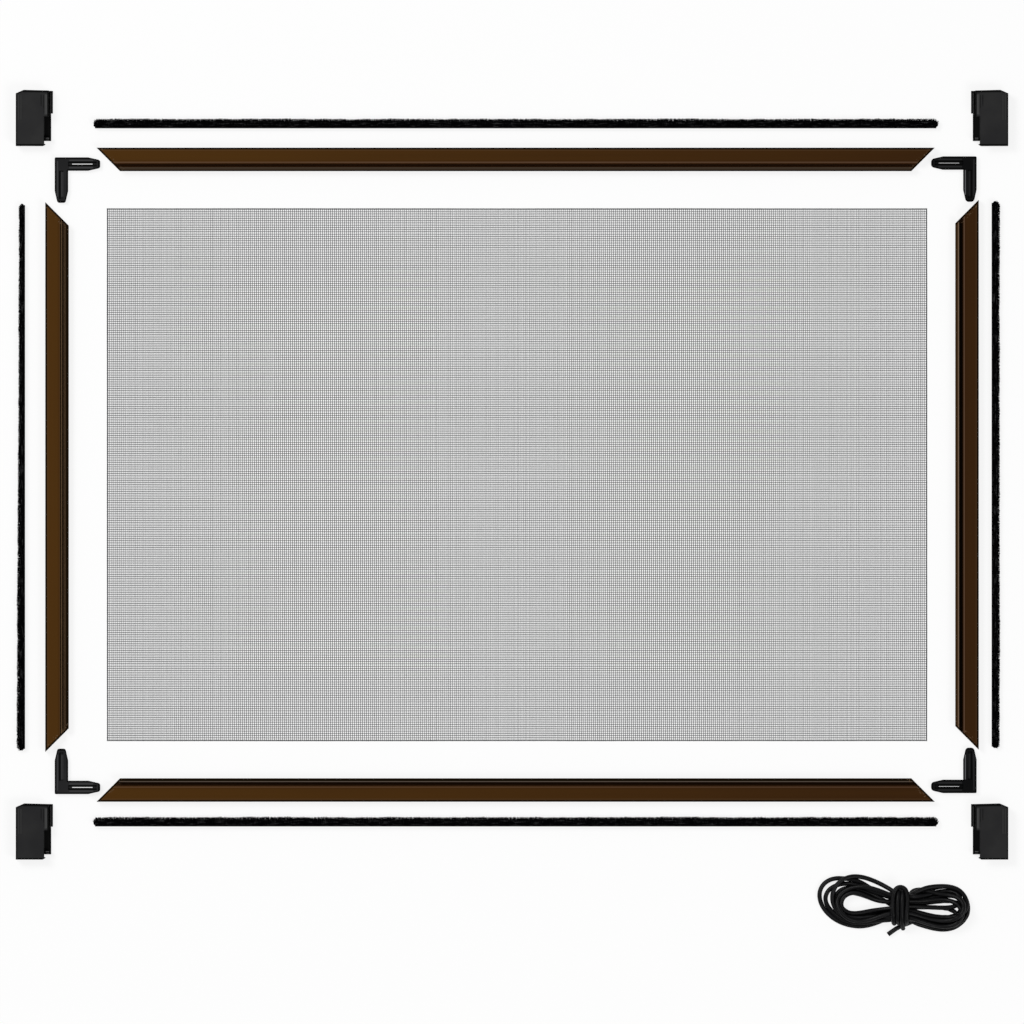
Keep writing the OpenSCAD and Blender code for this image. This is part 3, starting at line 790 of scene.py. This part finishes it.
for corner in CORNERS:
    level, upright = corner.split("_")
    low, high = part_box("connector_" + corner)
    outer = ((low if upright == "left" else high)[0], (low if level == "bottom" else high)[1])
    onward = (1 if upright == "left" else -1, 1 if level == "bottom" else -1)
    # Each side's tones come with the tone of its painted highlights
    shades, painted_highlight, tip_cut, slot_width, more_marks = CONNECTOR_SIDES[upright]
    connector = moulded_connector("connector_" + corner, outer, onward, tip_cut, slot_width)
    connector.data.materials.append(moulded_plastic(
        "connector_plastic_" + corner,
        outer,
        shades,
        grain=900.0,
        rough=0.48,
        gloss=0.05,
        marks=CONNECTOR_SHADE + tuple(mark + (painted_highlight,) for mark in CONNECTOR_HIGHLIGHTS) + more_marks,
    ))
    low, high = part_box("bracket_" + corner)
    paint("bracket_" + corner, moulded_plastic(
        "bracket_plastic_" + corner,
        (low[0] if upright == "left" else high[0], high[1]),
        BRACKET_TONES,
        grain=1300.0,
        rough=0.6,
        gloss=0.06,
        marks=BRACKET_LIGHT_AND_SHADE,
    ))


# Shapes that repeat, grown by trees of nodes
class Shape(Bench):
    """A tree that makes a shape, with its sizes as named inputs."""

    kinds = {float: "NodeSocketFloat", int: "NodeSocketInt", tuple: "NodeSocketVector"}

    def __init__(self, name, inputs):
        super().__init__(bpy.data.node_groups.new(name, "GeometryNodeTree"))
        self.inputs = inputs
        self.keys = {}
        face = self.tree.interface
        for label, value in inputs.items():
            kind = self.kinds[type(value)]
            item = face.new_socket(name=label, in_out="INPUT", socket_type=kind)
            item.default_value = value
            self.keys[label] = item.identifier
        face.new_socket(name="Geometry", in_out="OUTPUT", socket_type="NodeSocketGeometry")
        self.entry = self.tree.nodes.new("NodeGroupInput")

    def __getitem__(self, label):
        return Wire(self, self.entry.outputs[label])

    def point(self, x=0.0, y=0.0, z=0.0):
        """A vector made of three values."""
        return self.add("ShaderNodeCombineXYZ", sockets={0: x, 1: y, 2: z})

    def chance(self, low, high, seed):
        """A random vector for each point."""
        sockets = {0: low, 1: high, "Seed": seed}
        return self.add("FunctionNodeRandomValue", {"data_type": "FLOAT_VECTOR"}, sockets)

    def ends_in(self, geometry, material):
        """The tree gives this geometry, made real, smooth and of one material."""
        whole = self.add("GeometryNodeRealizeInstances", sockets={0: geometry})
        smooth = self.add("GeometryNodeSetShadeSmooth", sockets={0: whole})
        dressed = self.add("GeometryNodeSetMaterial", sockets={0: smooth, "Material": material})
        self.add("NodeGroupOutput", sockets={0: dressed})

    def grown(self, name, sizes):
        """The shape as a plain mesh object. A size that isn't given stays as it is in the tree."""
        thing = add_object(name, bpy.data.meshes.new(name))
        maker = thing.modifiers.new("maker", "NODES")
        maker.node_group = self.tree
        for label, value in {**self.inputs, **sizes}.items():
            maker[self.keys[label]] = value
        made_plain(thing, maker)
        return thing


# The seals' bristles, in metres: how far apart the tufts stand, and how far each one strays
TUFT_PITCH = 0.00065
TUFT_STRAY = 0.0003
# How far the outermost tufts and the core stay inside the seal's length and height
TUFT_INSET = (0.001, 0.0011)
CORE_INSET = 0.0012
# A tuft's tip against its foot, how it bends over and tilts, and how short the shortest is
TIP_SHARE = 0.25
TUFT_BEND = 14.0
TUFT_TILT = 0.1
FULL_TURN = 6.28
SHORTEST_TUFT = 0.84
# Waves in the bristles' length: how many to the metre, their detail, and how high they are
BRISTLE_WAVES = ((70.0, 3.0, 0.24), (9.0, 1.0, 0.2))
# Towards the ends: the part of the round end that splays, and how much shorter the last tufts are
SPLAYED_PART = 0.75
END_WEAR = 0.6
# The length over which the pressed stretch comes back to full height
PRESSED_FADE = 0.3
# The lowest that a bristle reaches
BRISTLE_FLOOR = 0.0001
# How far the bristles stand out past the solid that holds their place
LONGER_BRISTLES = {"top": 0.0015, "bottom": 0.0014, "left": 0.0, "right": 0.0}
# How much of their length the bristles lose where the seal is pressed flatter
PRESSED = {"top": 0.0, "bottom": 0.0, "left": 0.24, "right": 0.0}
# How deep the core is as a share of the bristles, and how much less for what they lose
CORE_SHARE, CORE_LOSS = 0.74, 0.7
# The last turn of an upright brush, for the axis and the direction that its bristles point in
FACING = {(1, 1): 0.0, (1, -1): math.pi, (0, 1): -math.pi / 2, (0, -1): math.pi / 2}


def brush_shape(run_name, run):
    """Rows of bristle tufts on a dense core, standing out of a flat strip."""
    shape = Shape("brush_" + run_name, {
        "Length": 0.9, "Height": 0.0068, "Reach": 0.0082, "Columns": 1400, "Rows": 8,
        "Tuft Radius": 0.0005, "End Round": 0.004, "Splay": 0.0022,
        "Pressed": 0.0, "Pressed Length": 0.16, "Core": CORE_SHARE,
        "Turn": (0.0, 0.0, 0.0), "Place": (0.0, 0.0, 0.0), "Seed": 5,
    })
    grid = shape.add("GeometryNodeMeshGrid", sockets={
        "Size X": shape["Length"] - TUFT_INSET[0],
        "Size Y": shape["Height"] - TUFT_INSET[1],
        "Vertices X": shape["Columns"],
        "Vertices Y": shape["Rows"],
    })
    # Towards the ends the bristles start farther out and grow shorter, which rounds the brush off
    place = shape.add("GeometryNodeInputPosition")
    along = shape.add("ShaderNodeSeparateXYZ", sockets={0: place})
    from_end = shape["Length"] * 0.5 - abs(along)
    # A long stretch from the far end may be pressed flatter
    pressed = shape.add("ShaderNodeMapRange", sockets={
        "Value": shape["Length"] * 0.5 - along,
        1: shape["Pressed Length"],
        2: shape["Pressed Length"] + PRESSED_FADE,
        3: shape["Pressed"],
        4: 0.0,
    })
    splayed, worn = (
        (1.0 - (from_end / (shape["End Round"] * share)).maths("MINIMUM", 1.0)).maths("POWER", 2.0)
        for share in (SPLAYED_PART, 1.0)
    )
    stray = (TUFT_STRAY, TUFT_STRAY, 0.0)
    jitter = shape.chance((-TUFT_STRAY, -TUFT_STRAY, 0.0), stray, shape["Seed"])
    outward = shape.point(z=shape["Splay"] * splayed)
    offset = shape.add("ShaderNodeVectorMath", {"operation": "ADD"}, {0: jitter, 1: outward})
    scattered = shape.add("GeometryNodeSetPosition", sockets={0: grid, "Offset": offset})
    tuft = shape.add("GeometryNodeMeshCone", {"fill_type": "NGON"}, {
        "Vertices": 3,
        "Side Segments": 2,
        "Radius Top": shape["Tuft Radius"] * TIP_SHARE,
        "Radius Bottom": shape["Tuft Radius"],
        "Depth": shape["Reach"],
    })
    height = shape.add("ShaderNodeSeparateXYZ", sockets={0: place}, output=2)
    lean = shape.point(x=height * height * TUFT_BEND)
    bent = shape.add("GeometryNodeSetPosition", sockets={0: tuft, "Offset": lean})
    waves = [
        amount * (shape.add("ShaderNodeTexNoise", sockets={
            "Vector": place, "Scale": scale, "Detail": detail,
        }) - 0.5)
        for scale, detail, amount in BRISTLE_WAVES
    ]
    long = shape.add(
        "FunctionNodeRandomValue",
        {"data_type": "FLOAT"},
        {2: SHORTEST_TUFT, 3: 1.0, "Seed": shape["Seed"] + 1},
        output=1,
    )
    uneven = waves[0] + waves[1]
    least, most = (-TUFT_TILT, -TUFT_TILT, 0.0), (TUFT_TILT, TUFT_TILT, FULL_TURN)
    tufts = shape.add("GeometryNodeInstanceOnPoints", sockets={
        "Points": scattered,
        "Instance": bent,
        "Rotation": shape.chance(least, most, shape["Seed"] + 2),
        "Scale": shape.point(1.0, 1.0, long + uneven - worn * END_WEAR - pressed),
    })
    core_deep = shape["Reach"] * shape["Core"]
    core_long = shape["Length"] - 2.0 * shape["End Round"]
    core_size = shape.point(core_long, shape["Height"] - CORE_INSET, core_deep)
    core = shape.add("GeometryNodeMeshCube", sockets={"Size": core_size})
    core_up = shape.add("GeometryNodeTransform", sockets={
        0: core, "Translation": shape.point(z=core_deep * 0.5),
    })
    both = shape.add("GeometryNodeJoinGeometry", sockets={0: [tufts, core_up]})
    placed = shape.add("GeometryNodeTransform", sockets={
        0: both, "Rotation": shape["Turn"], "Translation": shape["Place"],
    })
    # Bristles that reach the floor spread out on it
    above = shape.add("ShaderNodeVectorMath", {"operation": "MAXIMUM"}, {
        0: shape.add("GeometryNodeInputPosition"), 1: (-10.0, -10.0, BRISTLE_FLOOR),
    })
    whole = shape.add("GeometryNodeRealizeInstances", sockets={0: placed})
    rested = shape.add("GeometryNodeSetPosition", sockets={0: whole, "Position": above})
    shape.ends_in(rested, pile_fibre("pile_fibre_" + run_name, run))
    return shape


brushes = [brush_shape("level", 0), brush_shape("upright", 1)]
for side in SIDES:
    low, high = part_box("seal_pile_" + side)
    back_low, back_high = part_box("seal_backing_" + side)
    run = RUNS[side]
    wide = 1 - run
    outward = 1 if (low + high)[wide] > (back_low + back_high)[wide] else -1
    place = list((low + high) / 2)
    place[wide] = low[wide] if outward > 0 else high[wide]
    length = (high - low)[run]
    pile = brushes[run].grown("pile_" + side, {
        "Length": length,
        "Height": high[2] - low[2],
        "Reach": (high - low)[wide] + LONGER_BRISTLES[side],
        "Columns": int(length / TUFT_PITCH),
        "Pressed": PRESSED[side],
        "Core": CORE_SHARE - CORE_LOSS * PRESSED[side],
        "Turn": (-math.pi / 2, 0.0, FACING[wide, outward]),
        "Place": tuple(place),
        "Seed": 10 + SIDES.index(side) * 10,
    })
    takes_over(pile, "seal_pile_" + side)


# Screen cloth, in metres: the distance between its threads, upright ones and level ones
WARP_PITCH, WEFT_PITCH = 0.00219, 0.00245
# Upright threads, then level ones: how high they lie in thicknesses, and how many joints they have
THREAD_LIFTS = (1.4, 0.55)
THREAD_JOINTS = (28, 42)
# The second thread along the border, in pitches out from the last one
BORDER_STEP = 0.32
# How far the weave drifts, against how far a thread may wander
DRIFT = 6.0


def screen_shape():
    """Plain woven screen: two families of flat threads, joined where they cross."""
    shape = Shape("screen", {
        "Width": 0.894, "Height": 0.581, "Upright Threads": 408, "Level Threads": 237,
        "Thread Width": 0.00064, "Thread Depth": 0.00036, "Wander": 0.00012,
        "Place": (0.0, 0.0, 0.0), "Seed": 3,
    })
    sockets = {0: shape["Thread Width"], 1: shape["Thread Depth"]}
    profile = shape.add("GeometryNodeCurvePrimitiveQuadrilateral", sockets=sockets)
    families = []
    for level in (False, True):
        ahead, aside = "xy" if level else "yx"
        count = shape["Level Threads" if level else "Upright Threads"]
        spread = shape["Height" if level else "Width"]
        length = shape["Width" if level else "Height"]
        pitch = spread / count
        start = 0.5 * pitch - 0.5 * spread
        lift = shape["Thread Depth"] * THREAD_LIFTS[level]
        # A second thread beside the outermost ones makes the dark border
        border_spread = spread - (1 - 2 * BORDER_STEP) * pitch
        rows = [(count, start, pitch), (2, start - BORDER_STEP * pitch, border_spread)]
        lines = [
            shape.add("GeometryNodeMeshLine", sockets={
                "Count": number,
                "Start Location": shape.point(**{aside: first, "z": lift}),
                "Offset": shape.point(**{aside: step}),
            })
            for number, first, step in rows
        ]
        shift = shape["Wander"]
        least, most = shape.point(-1.0 * shift, -1.0 * shift), shape.point(shift, shift)
        shifted = shape.add("GeometryNodeSetPosition", sockets={
            0: shape.add("GeometryNodeJoinGeometry", sockets={0: lines[::-1]}),
            "Offset": shape.chance(least, most, shape["Seed"]),
        })
        half = 0.5 * length
        thread = shape.add("GeometryNodeCurvePrimitiveLine", sockets={
            "Start": shape.point(**{ahead: -1.0 * half}),
            "End": shape.point(**{ahead: half}),
        })
        jointed = shape.add("GeometryNodeResampleCurve", sockets={
            "Curve": thread, "Count": THREAD_JOINTS[level],
        })
        laid = shape.add("GeometryNodeInstanceOnPoints", sockets={
            "Points": shifted, "Instance": jointed,
        })
        real = shape.add("GeometryNodeRealizeInstances", sockets={0: laid})
        waves = {"Scale": 9.0, "Detail": 3.0}
        noise = shape.add("ShaderNodeTexNoise", sockets=waves, output="Color")
        centred = shape.add("ShaderNodeVectorMath", {"operation": "SUBTRACT"}, {
            0: noise, 1: (0.5, 0.5, 0.5),
        })
        scaled = shape.add("ShaderNodeVectorMath", {"operation": "MULTIPLY"}, {
            0: centred, 1: shape.point(DRIFT * shift, DRIFT * shift, 0.0),
        })
        wavy = shape.add("GeometryNodeSetPosition", sockets={0: real, "Offset": scaled})
        families.append(shape.add("GeometryNodeCurveToMesh", sockets={
            "Curve": wavy, "Profile Curve": profile, "Fill Caps": True,
        }))
    both = shape.add("GeometryNodeJoinGeometry", sockets={0: families})
    placed = shape.add("GeometryNodeTransform", sockets={0: both, "Translation": shape["Place"]})
    shape.ends_in(placed, coated_yarn("coated_yarn"))
    return shape


low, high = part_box("screen_cloth")
cloth_width, cloth_height = (high - low)[0], (high - low)[1]
cloth = screen_shape().grown("cloth_threads", {
    "Width": cloth_width,
    "Height": cloth_height,
    "Upright Threads": round(cloth_width / WARP_PITCH),
    "Level Threads": round(cloth_height / WEFT_PITCH),
    "Place": ((low + high)[0] / 2, (low + high)[1] / 2, 0.0),
})
takes_over(cloth, "screen_cloth")


# Floor: how far it reaches each way, its height, and how much of it is a plain white glow
FLOOR_REACH = 8.0
FLOOR_HEIGHT = -0.0004
FLOOR_GLOW = 0.82


def floor_white():
    """White to the eye and to gloss, with the pieces' faint shadow on it."""
    finish = Finish("floor_white")
    rays = [
        finish.add("ShaderNodeLightPath", output=name)
        for name in ("Is Camera Ray", "Is Glossy Ray", "Is Transmission Ray")
    ]
    seen = FLOOR_GLOW * (rays[0] + rays[1] + rays[2])
    plain = finish.add("ShaderNodeBsdfDiffuse", sockets={"Color": (0.95, 0.95, 0.95, 1.0)})
    sockets = {"Color": (1.0, 1.0, 1.0, 1.0), "Strength": 1.0}
    glow = finish.add("ShaderNodeEmission", sockets=sockets)
    mixed = finish.add("ShaderNodeMixShader", sockets={0: seen, 1: plain, 2: glow})
    finish.add("ShaderNodeOutputMaterial", sockets={"Surface": mixed})
    return finish.material


floor_mesh = bpy.data.meshes.new("floor")
ways = ((-1, -1), (1, -1), (1, 1), (-1, 1))
floor_points = [(x * FLOOR_REACH, y * FLOOR_REACH, FLOOR_HEIGHT) for x, y in ways]
floor_mesh.from_pydata(floor_points, [], [(0, 1, 2, 3)])
floor = add_object("floor", floor_mesh)
floor.data.materials.append(floor_white())


# Light: an even sky, a soft key from the upper left and a weaker fill from the lower right
SKY_STRENGTH = 0.35
# Each lamp's place, power and size
LAMPS = {
    "key": ((-3.4, 2.6, 5.6), 260.0, 2.6),
    "fill": ((3.6, -3.0, 5.2), 150.0, 2.8),
}
for name, (place, power, size) in LAMPS.items():
    light = bpy.data.lights.new(name, "AREA")
    light.energy = power
    light.size = size
    lamp = add_object(name, light)
    lamp.location = place
    lamp.rotation_euler = (-lamp.location).to_track_quat("-Z", "Y").to_euler()
world = bpy.data.worlds.new("studio")
world.use_nodes = True
sky = world.node_tree.nodes["Background"].inputs
sky["Color"].default_value = (1.0, 1.0, 1.0, 1.0)
sky["Strength"].default_value = SKY_STRENGTH
scene.world = world
scene.view_settings.view_transform = "Standard"
